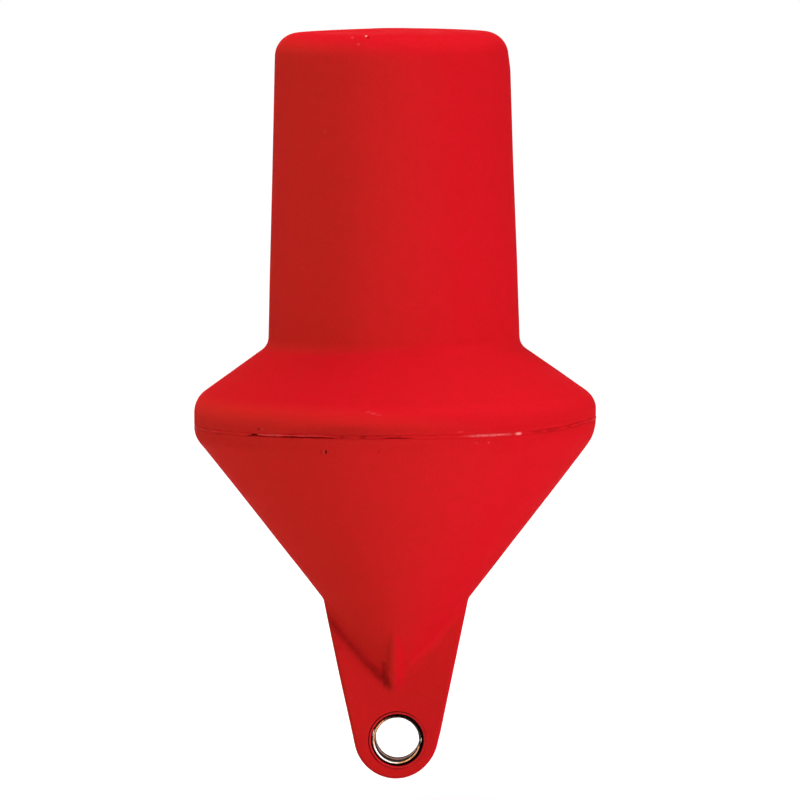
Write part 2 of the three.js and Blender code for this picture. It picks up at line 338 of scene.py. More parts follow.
def crown_lean(places):
    """The crown cooled a little out of level, higher towards +X, and sank at its middle."""
    lean, sink = math.radians(0.2), 0.0007
    band, sunk_radius = 0.045, 0.09
    x, y, z = places.T
    inward = np.clip(1 - (x**2 + y**2) / sunk_radius**2, 0, 1)
    return (x * math.tan(lean) - sink * inward) * ramp(z, CROWN_HEIGHT - band, CROWN_HEIGHT) ** 2


def crown_pinch(places):
    """The crown's edge drew in on its +X side."""
    pinch, full_at = 0.0014, 0.09
    band_foot, band_top = CROWN_HEIGHT - 0.042, CROWN_HEIGHT - 0.027
    return -pinch * ramp(places[:, 0], 0, full_at) * ramp(places[:, 2], band_foot, band_top)


def cone_draw(places):
    """The cone drew in on its -X side, most of all at half its height."""
    shallow, shallow_spread = 0.0003, 0.115
    deep, deep_spread = 0.0005, 0.055
    middle, least_radius = -0.125, 0.02
    x, y, z = places.T
    side = np.clip(-x / np.maximum(np.hypot(x, y), least_radius), 0, 1) ** 2
    return side * (shallow * hump(z, middle, shallow_spread, 8) + deep * hump(z, middle, deep_spread, 4))


def age(obj, rippled=True):
    """Moves a piece's vertices by the unevenness of the moulding it belongs to."""
    places = coordinates(obj)
    normals = np.empty(len(places) * 3)
    obj.data.vertex_normals.foreach_get("vector", normals)
    moved = places.copy()
    if rippled:
        moved += normals.reshape(-1, 3) * (WALL_RIPPLE * ripple(places, WALL_WAVES))[:, None]
    moved[:, 0] += drum_lean(places) + crown_pinch(places) + cone_draw(places)
    moved[:, 2] += seam_shift(places) + crown_lean(places)
    move_vertices(obj, moved)


def seam_groove_shade(places):
    """Painted shade on the points that lie in the seam's groove. 1 is full shade and 2 is black."""
    amount, depth, half_depth = 1.4, 0.0015, 0.001
    radius = np.hypot(places[:, 0], places[:, 1])
    beside_seam = np.abs(places[:, 2]) < SEAM_HALF_WIDTH * 0.99
    return amount * (beside_seam & (np.abs(radius - BELT_RADIUS + depth) < half_depth))


# ---- Upper shell and its plug --------------------------------------------------------------------


def crown_arc(inset, hole_radius, rim_angle):
    """The crown's sphere in profile, from a hole at its middle out to the rim."""
    point_count = 40
    sphere = CROWN_SPHERE_RADIUS - inset
    angles = np.linspace(math.asin(hole_radius / sphere), rim_angle, point_count)
    heights = CROWN_HEIGHT - CROWN_SPHERE_RADIUS + sphere * np.cos(angles)
    return np.stack([sphere * np.sin(angles), heights], -1)


def make_upper_shell():
    """A closed skin: crown with the plug's seat, drum, neck, shoulder and half the seam's groove."""
    rim_radius = DRUM_TOP_RADIUS - CROWN_EDGE_RADIUS
    rim_angle = math.asin(rim_radius / CROWN_SPHERE_RADIUS)
    rim_height = CROWN_HEIGHT - CROWN_SPHERE_RADIUS * (1 - math.cos(rim_angle))
    walls = [
        (rim_radius, rim_height, 0),
        (DRUM_TOP_RADIUS, rim_height - CROWN_EDGE_RADIUS * math.tan(rim_angle), CROWN_EDGE_RADIUS),
        (DRUM_BASE_RADIUS, NECK_HEIGHT, NECK_FILLET),
        (BELT_RADIUS, BELT_HEIGHT, SHOULDER_EDGE_RADIUS),
        (BELT_RADIUS, 0, 0),
    ]
    outer_walls = walls[:-1] + [(BELT_RADIUS, SEAM_HALF_WIDTH, 0)]
    seat_radius = PLUG_RADIUS + CLEARANCE
    hole_radius = PLUG_SPIGOT_RADIUS + CLEARANCE
    ledge = CROWN_HEIGHT - PLUG_FLANGE_THICKNESS
    outer = np.concatenate([
        resample(crown_arc(0, seat_radius, rim_angle), OUTER_SPACING)[:-1],
        rounded_line(outer_walls, OUTER_SPACING),
    ])
    inner = np.concatenate([
        resample(crown_arc(WALL, hole_radius, rim_angle), INNER_SPACING)[:-1],
        rounded_line(inset_walls(walls, WALL), INNER_SPACING),
    ])
    profile = [
        (hole_radius, ledge),
        (seat_radius, ledge),
        *outer,
        (BELT_RADIUS - SEAM_GROOVE, 0),
        *inner[::-1],
    ]
    shell = skin_rings("upper_shell_skin", revolve(profile), closed=True)
    # Painted shade in the seam's groove.
    store_amounts(shell, "hollow", seam_groove_shade(coordinates(shell)))
    age(shell)
    return shell


def make_filler_plug():
    """A flanged plug with a dished top."""
    edge = PLUG_EDGE_RADIUS
    middle = 0.0005
    flange_foot = CROWN_HEIGHT - PLUG_FLANGE_THICKNESS
    dish_floor = CROWN_HEIGHT - PLUG_DISH_DEPTH
    top = rounded_line([
        (middle, dish_floor, 0),
        (PLUG_DISH_RADIUS - PLUG_DISH_DEPTH, dish_floor, 4 * edge),
        (PLUG_DISH_RADIUS, CROWN_HEIGHT, edge),
        (PLUG_RADIUS, CROWN_HEIGHT, edge),
        (PLUG_RADIUS, flange_foot, 0),
    ], edge / 3)
    spigot = rounded_line([
        (PLUG_SPIGOT_RADIUS, flange_foot, 0),
        (PLUG_SPIGOT_RADIUS, PLUG_FOOT, edge),
        (middle, PLUG_FOOT, 0),
    ], 2 * edge)
    plug = skin_rings("filler_plug_cap", revolve([*top, *spigot], PLUG_ROUND_COUNT))
    age(plug)
    return plug


# ---- Lower shell ---------------------------------------------------------------------------------


def slopes(field, *place):
    """The field's gradient at a place, by small steps."""
    step, here = 1e-5, field(*place)
    return [
        (field(*(c + step * (i == axis) for i, c in enumerate(place))) - here) / step
        for axis in range(3)
    ]


def rolled_union(field_a, field_b, radius):
    """Joins two distance fields, with a ball of that radius rolled along the hollow between them.

    The cosine of the angle between their gradients is kept off 1 and -1, where no ball would fit.
    """
    cosine_range = (-0.9, 0.97)

    def field(*place):
        a, b = field_a(*place), field_b(*place)
        pairs = zip(slopes(field_a, *place), slopes(field_b, *place))
        cosine = np.clip(sum(p * q for p, q in pairs), *cosine_range)
        u, v = radius - a, radius - b
        reach = np.sqrt((u**2 + v**2 - 2 * cosine * u * v) / (1 - cosine**2))
        in_hollow = (u > cosine * v) & (v > cosine * u)
        return np.where(in_hollow, radius - reach, np.minimum(a, b))

    return field


def cone_distance(x, y, z):
    return (np.hypot(x, y) - (z - APEX_HEIGHT) * CONE_SLOPE) * math.cos(CONE_HALF_ANGLE)


def tongue_distance(x, y, z):
    """A flat slab with straight sides that touch its round end, and rounded edges."""
    above_end = z - TONGUE_END_HEIGHT
    lean, rise = math.cos(TONGUE_HALF_TAPER), math.sin(TONGUE_HALF_TAPER)
    beside = x * lean - above_end * rise - TONGUE_END_RADIUS
    around = np.hypot(x, above_end) - TONGUE_END_RADIUS
    outline = np.where(above_end * lean + x * rise < 0, around, beside)
    side, face = outline + TONGUE_EDGE_RADIUS, y - TONGUE_HALF_THICKNESS + TONGUE_EDGE_RADIUS
    corner = np.hypot(np.maximum(side, 0), np.maximum(face, 0))
    return corner + np.minimum(np.maximum(side, face), 0) - TONGUE_EDGE_RADIUS


def rib_distance(x, y, z):
    """A round-nosed rib whose crest runs straight from the cone's surface to the tongue's face."""
    start, end = TIP_HEIGHT + RIB_ABOVE_TIP, TIP_HEIGHT - RIB_BELOW_TIP
    start_depth = (start - APEX_HEIGHT) * CONE_SLOPE
    slope = (start_depth - TONGUE_HALF_THICKNESS) / (start - end)
    crest = TONGUE_HALF_THICKNESS + slope * (z - end)
    beyond = (y - crest) / math.hypot(1, slope)
    return np.hypot(x, np.maximum(beyond + RIB_NOSE_RADIUS, 0)) - RIB_NOSE_RADIUS


# Distance to the lower shell's outside, for points with x and y at or above 0.
body_distance = rolled_union(cone_distance, tongue_distance, BLEND_RADIUS)
lower_distance = rolled_union(body_distance, rib_distance, RIB_BLEND_RADIUS)


def tongue_rings(heights):
    """Level rings of the lower shell's outside, found by halving along rays from the axis."""
    halvings = 34
    angles = np.linspace(0, math.pi / 2, RAY_COUNT)
    z, angle = np.meshgrid(heights, angles, indexing="ij")
    low, high = np.zeros_like(z), np.full_like(z, BELT_RADIUS)
    for _ in range(halvings):
        middle = (low + high) / 2
        outside = lower_distance(middle * np.cos(angle), middle * np.sin(angle), z) > 0
        high = np.where(outside, middle, high)
        low = np.where(outside, low, middle)
    rings = []
    for height, radii in zip(heights, high):
        section = np.stack([radii * np.cos(angles), radii * np.sin(angles)], -1)
        quarter = evenly_spaced(section, ROUND_COUNT // 4 + 1)
        half = np.concatenate([quarter[:-1], quarter[:0:-1] * (-1, 1)])
        ring = np.concatenate([half, -half])
        rings.append(np.column_stack([ring, np.full(len(ring), height)]))
    return rings


def make_eye_cutter():
    """The eye's bore: the bush's seat, a gap round each end of it, a rounded mouth and a crease."""
    seat = BUSH_RADIUS + CLEARANCE
    gap = BUSH_RADIUS + EYE_GAP
    rim = gap + EYE_MOUTH_RADIUS
    face = TONGUE_HALF_THICKNESS
    beyond_face = face + 0.004
    gap_foot = face - EYE_GAP_DEPTH
    seat_start = gap_foot - 0.001
    mouth_steps = 12
    mouth = [
        (gap + EYE_MOUTH_RADIUS * (1 + math.cos(turn)), face - EYE_MOUTH_RADIUS * (1 - math.sin(turn)))
        for turn in np.linspace(math.pi / 2, math.pi, mouth_steps)
    ]
    front = [
        (rim + EYE_CREASE_WIDTH, beyond_face),
        (rim + EYE_CREASE_WIDTH, face),
        (rim + EYE_CREASE_WIDTH / 2, face - EYE_CREASE_DEPTH),
        *mouth,
        (gap, gap_foot),
        (seat, seat_start),
    ]
    profile = front + [(r, -z) for r, z in reversed(front)]
    rings = lay_along_eye(revolve(profile, EYE_ROUND_COUNT))
    for ring, (r, _) in zip(rings, profile):
        if r > seat:
            ring += (EYE_GAP_SHIFT[0], 0, EYE_GAP_SHIFT[1])
    return skin_rings("eye_cutter", rings)


def around_eye(places):
    """Each point's distance and bearing from the middle of the gap round the bush, and its depth."""
    x, y, z = places.T
    aside = x - EYE_ASIDE - EYE_SKEW * y - EYE_GAP_SHIFT[0]
    up = z - EYE_HEIGHT - EYE_RISE - EYE_GAP_SHIFT[1]
    return np.hypot(aside, up), np.arctan2(up, aside), TONGUE_HALF_THICKNESS - np.abs(y)


def eye_gap_shade(places):
    """Painted shade in the gap round the bush and, in patches, in the crease beyond it. 2 is black."""
    gap_shade, crease_shade, slack = 2.0, 3.0, 0.0004
    darkest_bearing, crease_reach = 2.6, 0.002
    radius, bearing, depth = around_eye(places)
    gap = BUSH_RADIUS + EYE_GAP
    crease = gap + EYE_MOUTH_RADIUS + EYE_CREASE_WIDTH / 2
    in_gap = (radius < gap + slack) & (depth > 0.6 * EYE_MOUTH_RADIUS)
    in_crease = np.abs(radius - crease) < EYE_CREASE_WIDTH / 4
    in_crease &= (depth > EYE_CREASE_DEPTH / 3) & (depth < crease_reach)
    patchy = 0.55 + 0.55 * np.cos(bearing - darkest_bearing) + 0.15 * np.sin(7 * bearing)
    in_patches = crease_shade * np.clip(patchy, 0.1, 1) * in_crease
    return np.where(in_gap, gap_shade, in_patches)


def eye_mouth_highlight(places):
    """A painted highlight on the rounded mouth of the eye."""
    amount, middle, spread = 0.16, 0.65, 0.5
    radius, _, depth = around_eye(places)
    across = (radius - BUSH_RADIUS - EYE_GAP) / EYE_MOUTH_RADIUS
    return amount * ramp(np.abs(across - middle), spread, 0) * (depth < EYE_MOUTH_RADIUS)


def fold_shade(places):
    """How much painted shade lies along the folds at the tongue's root, stronger on the -X side, away from
    the key lamp.
    """
    off_cone, cone_spread = 0.0087, 0.0033
    thinning, thin_from, thinnest_at = 0.3, 0.012, 0.030
    off_rib, rib_spread = 0.0042, 0.0026
    rib_foot, rib_full = TONGUE_END_HEIGHT + 0.046, TONGUE_END_HEIGHT + 0.054
    off_tongue, on_tongue = 0.005, 0.003
    side_fade, side_most = 0.01, 0.86
    x, y, z = places.T
    place = (np.abs(x), np.abs(y), z)
    beside_cone = hump(cone_distance(*place), off_cone, cone_spread)
    beside_cone *= 1 - thinning * ramp(np.abs(x), thin_from, thinnest_at)
    beside_rib = hump(rib_distance(*place), off_rib, rib_spread) * ramp(z, rib_foot, rib_full)
    side = 0.5 - 0.5 * np.clip(x / side_fade, -side_most, side_most)
    painted_shade = np.maximum(beside_cone, beside_rib) * side
    return painted_shade * ramp(tongue_distance(*place), off_tongue, on_tongue)


def shift_ribs(shell):
    """The ribs sit slightly towards -X, as the halves of the mould didn't quite line up."""
    shift, half_width = 0.0020, 0.011
    foot = TONGUE_END_HEIGHT + 0.030
    top = TIP_HEIGHT + RIB_ABOVE_TIP + 0.015
    fade = 0.012
    places = coordinates(shell)
    x, _, z = places.T
    near_rib = hump(x, 0, half_width, 4) * ramp(z, foot, foot + fade) * ramp(z, top, top - fade)
    places[:, 0] -= shift * near_rib
    move_vertices(shell, places)


def trim_tip(shell):
    """The tongue's end came out a little short, and narrower on its +X side."""
    narrowed, shortened = 0.0015, 0.0005
    eye_edge, fade = 0.031, 0.007
    top, full_from = EYE_HEIGHT + 0.010, EYE_HEIGHT - 0.025
    places = coordinates(shell)
    x, _, z = places.T
    beyond_eye = ramp(np.hypot(x, z - EYE_HEIGHT), eye_edge, eye_edge + fade)
    down = ramp(z, top, full_from)
    places[:, 0] -= narrowed * (0.5 + 0.5 * x / TONGUE_END_RADIUS) * down * beyond_eye
    places[:, 2] += shortened * down**2 * beyond_eye
    move_vertices(shell, places)


def lower_shell_rings():
    """Rings from the tongue's end up over the cone to the seam, and back down inside the skin."""
    ring_spacing, end_ring_count, last_angle = 0.0022, 44, math.radians(88.6)
    # The shell is round above this height. Below it the cone runs into the ribs and the tongue.
    blend_start = -0.13
    walls = [(BELT_RADIUS, 0, 0), (BELT_RADIUS, -BILGE_DEPTH, BILGE_RADIUS), (0, APEX_HEIGHT, 0)]
    outer = rounded_line([(BELT_RADIUS, -SEAM_HALF_WIDTH, 0), *walls[1:]], OUTER_SPACING)
    belt = outer[outer[:, 1] > blend_start]
    falling = np.arange(blend_start, TONGUE_END_HEIGHT, -ring_spacing)
    end_angles = np.linspace(0, last_angle, end_ring_count)
    ending = TONGUE_END_HEIGHT - TONGUE_END_RADIUS * np.sin(end_angles)
    inner = rounded_line(inset_walls(walls, WALL), INNER_SPACING)
    hollow = inner[inner[:, 0] > TONGUE_HALF_THICKNESS]
    return [
        *tongue_rings(np.concatenate([falling, ending]))[::-1],
        *revolve(belt[::-1]),
        *revolve([(BELT_RADIUS - SEAM_GROOVE, 0)]),
        *revolve(hollow),
    ]


def make_lower_shell():
    """A closed skin: half the seam's groove, bilge, cone and tongue, with the eye bored through."""
    shell = skin_rings("lower_shell_skin", lower_shell_rings())
    cut(shell, make_eye_cutter())
    places = coordinates(shell)
    # Painted shade along the tongue's folds, in the seam's groove and in the eye's gap and crease.
    painted_shade = np.maximum(fold_shade(places), seam_groove_shade(places))
    store_amounts(shell, "hollow", np.maximum(painted_shade, eye_gap_shade(places)))
    # A painted highlight on the eye's rounded mouth.
    store_amounts(shell, "paleness", eye_mouth_highlight(places))
    age(shell)
    shift_ribs(shell)
    trim_tip(shell)
    return shell


# ---- Weld bead and bush --------------------------------------------------------------------------

# Stretches of the seam: bearing from the front and half the spread, both in degrees, and an amount.
# On them the weld stands clear of its groove, gets a painted highlight on its nose, sits high in
# the groove, is nicked or has a nub.
CLEAR_STRETCHES = [
    (-71, 4, 0.5), (-62, 3, 0.3), (-43.5, 3, 0.9), (-38, 3.5, 0.45), (-30.5, 3.8, 1.0), (-25.5, 1.8, 0.4),
    (-20.8, 4.2, 1.1), (-14, 2, 0.5), (-7, 5, 0.5), (1.5, 4.5, 1.0), (13, 6, 0.3),
]
HIGHLIGHT_STRETCHES = [(-31, 11, 0.25), (-38, 3.5, 0.35), (27.5, 6.5, 0.9), (37, 1.0, 2.0)]
HIGH_STRETCHES = [(-29, 16, 1.0), (1.5, 4.5, 1.0)]
NICKS = [
    (-43.5, 1.1, 2.0), (-36, 0.7, 0.4), (-25.5, 0.6, 0.5), (-15, 0.6, 0.7), (-9, 0.8, 0.6), (1, 0.7, 0.5),
    (44, 2, 0.4), (51, 3, 0.5), (59, 2, 0.4), (66, 3, 0.3), (74, 3, 0.2),
]
NUBS = [(37, 1.2, 1.0), (34, 0.6, 0.4), (24, 0.8, 0.4)]


def bearing_from_front(angles):
    """Degrees round from the front, where -Y is 0 and +X is 90."""
    return np.degrees(np.arctan2(np.cos(angles), -np.sin(angles)))


def along_seam(angles, stretches):
    """The sum of a smooth hump for each stretch of the seam."""
    bearing = bearing_from_front(angles)
    return sum(amount * hump(bearing, middle, spread, 4) for middle, spread, amount in stretches)


def openness(angles):
    """How clearly the groove shows beside the weld bead, up to 1. It comes and goes at the back."""
    least, back_from, back_full = 0.10, 88, 98
    at_back = ramp(np.abs(bearing_from_front(angles)), back_from, back_full)
    behind = at_back * (0.5 + 0.5 * np.sin(5 * angles))
    return np.clip(along_seam(angles, CLEAR_STRETCHES) + behind, least, 1)


def make_seam_bead():
    """A bead of plastic melted along the seam, uneven in width and in how far it stands out."""
    ring_count, points = 1440, 12
    stand, stand_if_clear, stand_sway = 0.0001, 0.0004, 0.00025
    half, half_lost_if_clear, half_sway, least_half = 0.0020, 0.0010, 0.00022, 0.0006
    lift, lift_sway = 0.0006, 0.00018
    nub_size, nick_depth = 0.0012, 0.0008
    angles = np.linspace(0, 2 * math.pi, ring_count, endpoint=False)
    places = np.stack([np.cos(angles), np.sin(angles), 0 * angles], -1) * BELT_RADIUS
    uneven, thick, sway = (ripple(places + offset, BEAD_WAVES) for offset in (0, 1, 2))
    clear = openness(angles)
    stands = np.clip(stand + stand_if_clear * clear + stand_sway * uneven, -0.0002, 0.0012)
    stands += nub_size * along_seam(angles, NUBS) - nick_depth * along_seam(angles, NICKS)
    halves = half - half_lost_if_clear * clear + half_sway * thick
    halves = np.clip(halves, least_half, SEAM_HALF_WIDTH)
    lifts = lift_sway * sway * clear + lift * along_seam(angles, HIGH_STRETCHES)
    back = BELT_RADIUS - SEAM_GROOVE + CLEARANCE
    turns = np.linspace(0, 2 * math.pi, points, endpoint=False)
    rings = []
    for angle, front, half_height, middle in zip(angles, BELT_RADIUS + stands, halves, lifts):
        radius = (front + back) / 2 + (front - back) / 2 * np.cos(turns)
        height = middle + half_height * np.sin(turns)
        rings.append(np.stack([radius * math.cos(angle), radius * math.sin(angle), height], -1))
    bead = skin_rings("seam_weld", rings, closed=True)
    on_nose = ramp(np.cos(turns), 0.75, 1)
    # Painted highlights on the bead's nose, and painted shade in its nicks.
    store_amounts(bead, "paleness", np.outer(along_seam(angles, HIGHLIGHT_STRETCHES), on_nose).ravel())
    store_amounts(bead, "hollow", np.repeat(along_seam(angles, NICKS), points))
    age(bead, rippled=False)
    return bead


def make_eye_bush():
    """A tube with rounded lips, whose bore is a little off its middle."""
    end, lip = BUSH_HALF_LENGTH, BUSH_LIP_RADIUS
    corners = [
        (BUSH_BORE_RADIUS, 0, 0),
        (BUSH_BORE_RADIUS, end, lip),
        (BUSH_RADIUS, end, lip),
        (BUSH_RADIUS, 0, 0),
    ]
    half = rounded_line(corners, lip / 6)
    wall = np.concatenate([half, half[-2:0:-1] * (1, -1)])
    rings = lay_along_eye(revolve(wall, BUSH_ROUND_COUNT))
    for ring, (r, _) in zip(rings, wall):
        if r < BUSH_BORE_RADIUS + lip / 2:
            ring += (BORE_SHIFT[0], 0, BORE_SHIFT[1])
    return skin_rings("eye_bush_tube", rings, closed=True)


# ---- Materials -----------------------------------------------------------------------------------


class Nodes:
    """Short ways to add shader nodes to a tree, linked as they are added."""

    def __init__(self, tree):
        self.tree = tree

    def feed(self, socket, value):
        """Links a node's output to a socket, or sets the socket to a plain value."""
        if isinstance(value, bpy.types.NodeSocket):
            self.tree.links.new(value, socket)
        else:
            socket.default_value = value

    def add(self, kind, inputs=(), **settings):
        node = self.tree.nodes.new(kind)
        for key, value in settings.items():
            setattr(node, key, value)
        for socket, value in dict(inputs).items():
            self.feed(node.inputs[socket], value)
        return node

    def maths(self, operation, a, b=0.0):
        return self.add("ShaderNodeMath", {0: a, 1: b}, operation=operation).outputs[0]

    def vector(self, operation, a, b=(0, 0, 0)):
        return self.add("ShaderNodeVectorMath", {0: a, 1: b}, operation=operation).outputs["Vector"]

    def length(self, vector):
        return self.add("ShaderNodeVectorMath", {0: vector}, operation="LENGTH").outputs["Value"]

    def split(self, vector):
        return self.add("ShaderNodeSeparateXYZ", {0: vector}).outputs

    def span(self, value, low, high, to_low=0.0, to_high=1.0):
        """Maps low to high onto to_low to to_high, and holds past both ends."""
        inputs = {
            "Value": value, "From Min": low, "From Max": high, "To Min": to_low, "To Max": to_high,
        }
        return self.add("ShaderNodeMapRange", inputs).outputs["Result"]

    def blend(self, factor, colour_a, colour_b):
        """Mixes two colours. On a mix node they are sockets 6 and 7, and the result is output 2."""
        inputs = {0: factor}
        for socket, colour in ((6, colour_a), (7, colour_b)):
            is_linked = isinstance(colour, bpy.types.NodeSocket)
            inputs[socket] = colour if is_linked else (*colour, 1)
        return self.add("ShaderNodeMix", inputs, data_type="RGBA").outputs[2]

    def coat(self, colour, paint, mask, amount):
        """Lays a paint over a colour where a mask shows, by the amount at most."""
        return self.blend(self.maths("MULTIPLY", mask, amount), colour, paint)

    def seen_or_mirrored(self):
        """One where the camera sees a thing directly, mirrored or through glass, otherwise zero."""
        path = self.add("ShaderNodeLightPath").outputs
        seen = self.maths("MAXIMUM", path["Is Camera Ray"], path["Is Glossy Ray"])
        return self.maths("MAXIMUM", seen, path["Is Transmission Ray"])


class Material(Nodes):
    """A new Principled material, with plain values for some of its inputs."""

    def __init__(self, name, **inputs):
        self.material = bpy.data.materials.new(name)
        self.material.use_nodes = True
        super().__init__(self.material.node_tree)
        self.surface = self.tree.nodes["Principled BSDF"]
        coordinate = self.add("ShaderNodeTexCoord").outputs
        self.place, self.facing = coordinate["Object"], coordinate["Normal"]
        for socket, value in inputs.items():
            self.use(socket.replace("_", " "), value)

    def use(self, socket, value):
        self.feed(self.surface.inputs[socket], value)

    def noise(self, scale, detail, roughness, place=None):
        inputs = {"Vector": place or self.place, "Scale": scale, "Detail": detail, "Roughness": roughness}
        return self.add("ShaderNodeTexNoise", inputs).outputs["Fac"]

    def stored(self, name):
        """The amount that the mesh stores for each vertex under that name."""
        return self.add("ShaderNodeAttribute", attribute_name=name).outputs["Fac"]

    def bump(self, height, distance, strength, under=None):
        inputs = {"Height": height, "Distance": distance, "Strength": strength}
        if under is not None:
            inputs["Normal"] = under
        return self.add("ShaderNodeBump", inputs).outputs["Normal"]


# The belt's red paints a highlight. The two dark colours paint shade, and dark pits and marks too. The last
# two paint highlights, and the red one pale scuffs as well.
RED = (0.722, 0.0118, 0.0150)
DEEP_RED = (0.668, 0.0130, 0.0115)
PALE_RED = (0.800, 0.0210, 0.0330)
BELT_HIGHLIGHT_RED = (0.840, 0.0150, 0.0170)
SHADE_AND_GRIME = (0.200, 0.0060, 0.0045)
SHADE_AND_MARK_BLACK = (0.010, 0.004, 0.003)
HIGHLIGHT_AND_SCUFF_RED = (0.900, 0.170, 0.180)
HIGHLIGHT_WHITE = (1.000, 0.450, 0.360)

# Small marks on the plastic, each with its place, its half-lengths along X, Y and Z and how
# strongly it shows. A pale mark above 1 is painted white. The first three pale marks are painted
# glints on the crown's edge, and the first dark mark is painted shade beside the first of them. The
# last three pale marks are painted glints beside the seam. The last two dark ones are a painted soft
# shade along the belt.
DARK_MARKS = [
    ((-0.0253, -0.1000, 0.3856), (0.0013, 0.0040, 0.0012), 0.9),
    ((-0.1338, -0.1490, 0.0042), (0.0008, 0.0050, 0.0018), 0.7),
    ((-0.0723, -0.1835, -0.0157), (0.0008, 0.0050, 0.0028), 0.35),
    ((-0.0674, -0.1855, -0.0155), (0.0009, 0.0050, 0.0030), 1.0),
    ((-0.0157, -0.1970, -0.0143), (0.0009, 0.0050, 0.0018), 0.4),
    ((-0.0450, -0.1900, 0.0035), (0.0400, 0.0600, 0.0075), 0.07),
    ((-0.0400, -0.1900, 0.0040), (0.0750, 0.0900, 0.0095), 0.06),
]
PALE_MARKS = [
    ((-0.0270, -0.0960, 0.3869), (0.0017, 0.0050, 0.0014), 1.6),
    ((-0.0407, -0.0980, 0.3860), (0.0022, 0.0050, 0.0014), 0.20),
    ((-0.0346, -0.1066, 0.3795), (0.0022, 0.0050, 0.0016), 0.16),
    ((-0.0680, -0.0990, 0.2937), (0.0012, 0.0050, 0.0026), 0.12),
    ((-0.0898, -0.0850, 0.1591), (0.0030, 0.0050, 0.0015), 0.06),
    ((-0.0258, -0.1960, 0.0240), (0.0034, 0.0050, 0.0011), 0.14),
    ((-0.0210, -0.1965, 0.0226), (0.0034, 0.0050, 0.0011), 0.20),
    ((-0.0160, -0.1975, 0.0212), (0.0030, 0.0050, 0.0010), 0.12),
    ((-0.1300, -0.1524, 0.0045), (0.0010, 0.0050, 0.0022), 0.16),
    ((-0.0698, -0.1845, -0.0157), (0.0010, 0.0050, 0.0026), 0.10),
    ((0.0912, -0.1780, -0.0075), (0.0013, 0.0050, 0.0014), 0.22),
    ((0.0793, -0.1830, -0.0072), (0.0022, 0.0050, 0.0010), 0.12),
    ((0.0640, -0.1900, 0.0040), (0.0040, 0.0050, 0.0012), 0.12),
]


def wobbled_place(shader, wobble):
    """Object coordinates shifted at random by up to half the wobble, to roughen an outline."""
    noise = shader.add("ShaderNodeTexNoise", {"Vector": shader.place, "Scale": 900.0})
    shift = shader.vector("MULTIPLY", noise.outputs["Color"], (wobble, wobble, wobble))
    centred = shader.vector("SUBTRACT", shift, (wobble / 2, wobble / 2, wobble / 2))
    return shader.vector("ADD", shader.place, centred)


def mark_mask(shader, place, marks):
    """How strongly a set of marks shows, solid in the middle of each and soft at its edge."""
    solid_part = 0.55
    total = 0.0
    for centre, reach, amount in marks:
        offset = shader.vector("DIVIDE", shader.vector("SUBTRACT", place, centre), reach)
        mask = shader.span(shader.length(offset), solid_part, 1.0, amount, 0)
        total = shader.maths("ADD", mask, total)
    return total


def speckled_red(shader, pits):
    """Red with clouds, mottle, grit, level scuffs and dark pits."""
    clouds = shader.span(shader.noise(scale=9, detail=3, roughness=0.55), 0.35, 0.65)
    mottle = shader.span(shader.noise(scale=75, detail=5, roughness=0.75), 0.36, 0.64)
    grit = shader.span(shader.noise(scale=520, detail=2, roughness=0.6), 0.45, 0.72)
    level_grain = shader.vector("MULTIPLY", shader.place, (0.5, 0.5, 7.0))
    scratches = shader.span(shader.noise(scale=60, detail=4, roughness=0.65, place=level_grain), 0.60, 0.74)
    scuffs = shader.maths("MULTIPLY", scratches, shader.span(clouds, 0.4, 0.9))
    colour = shader.coat(RED, DEEP_RED, clouds, amount=0.40)
    colour = shader.coat(colour, DEEP_RED, mottle, amount=0.85)
    colour = shader.coat(colour, PALE_RED, grit, amount=0.30)
    colour = shader.coat(colour, PALE_RED, scuffs, amount=0.25)
    return shader.coat(colour, SHADE_AND_GRIME, pits, amount=0.12)


def belt_highlight_and_facing_tint(shader, colour):
    """Paler at the belt, most on its -X side: a painted highlight. A purer red where it faces up or towards
    +X: painted light.
    """
    middle, full_within, none_beyond = 0.0185, 0.0035, 0.0135
    most, least = 0.9, 0.15
    shaded_side_tint, lit_side_tint = (1.0, 1.75, 1.15), (1.0, 0.68, 1.08)
    facing = shader.split(shader.facing)
    height = shader.split(shader.place)["Z"]
    from_middle = shader.maths("ABSOLUTE", shader.maths("SUBTRACT", height, middle))
    at_belt = shader.span(from_middle, full_within, none_beyond, 1, 0)
    by_side = shader.span(facing["X"], -0.35, 0.35, most, least)
    colour = shader.coat(colour, BELT_HIGHLIGHT_RED, by_side, at_belt)
    upwards = shader.maths("MAXIMUM", facing["Z"], 0.0)
    towards_light = shader.span(shader.maths("ADD", facing["X"], upwards), -0.55, 0.55)
    return shader.vector("MULTIPLY", colour, shader.blend(towards_light, shaded_side_tint, lit_side_tint))


def marks_and_painted_light(shader, colour):
    """Dark and pale marks, and what the mesh stores: painted shade down to black, and painted highlights
    from pale red to white.
    """
    place = wobbled_place(shader, 0.0012)
    colour = shader.blend(mark_mask(shader, place, DARK_MARKS), colour, SHADE_AND_MARK_BLACK)
    hollow = shader.stored("hollow")
    patchy = shader.span(shader.noise(scale=150, detail=4, roughness=0.6), 0.25, 0.6, 0.35, 0.75)
    darkened = shader.maths("MINIMUM", shader.maths("MULTIPLY", hollow, patchy), 1.0)
    colour = shader.blend(darkened, colour, SHADE_AND_GRIME)
    colour = shader.blend(shader.span(hollow, 1, 2), colour, SHADE_AND_MARK_BLACK)
    broken = shader.span(shader.noise(scale=300, detail=3, roughness=0.6), 0.3, 0.6, 0.35, 1.0)
    paleness = shader.maths("MULTIPLY", shader.stored("paleness"), broken)
    paleness = shader.maths("MAXIMUM", paleness, mark_mask(shader, place, PALE_MARKS))
    colour = shader.blend(shader.span(paleness, 0, 1), colour, HIGHLIGHT_AND_SCUFF_RED)
    return shader.blend(shader.span(paleness, 1, 2), colour, HIGHLIGHT_WHITE)


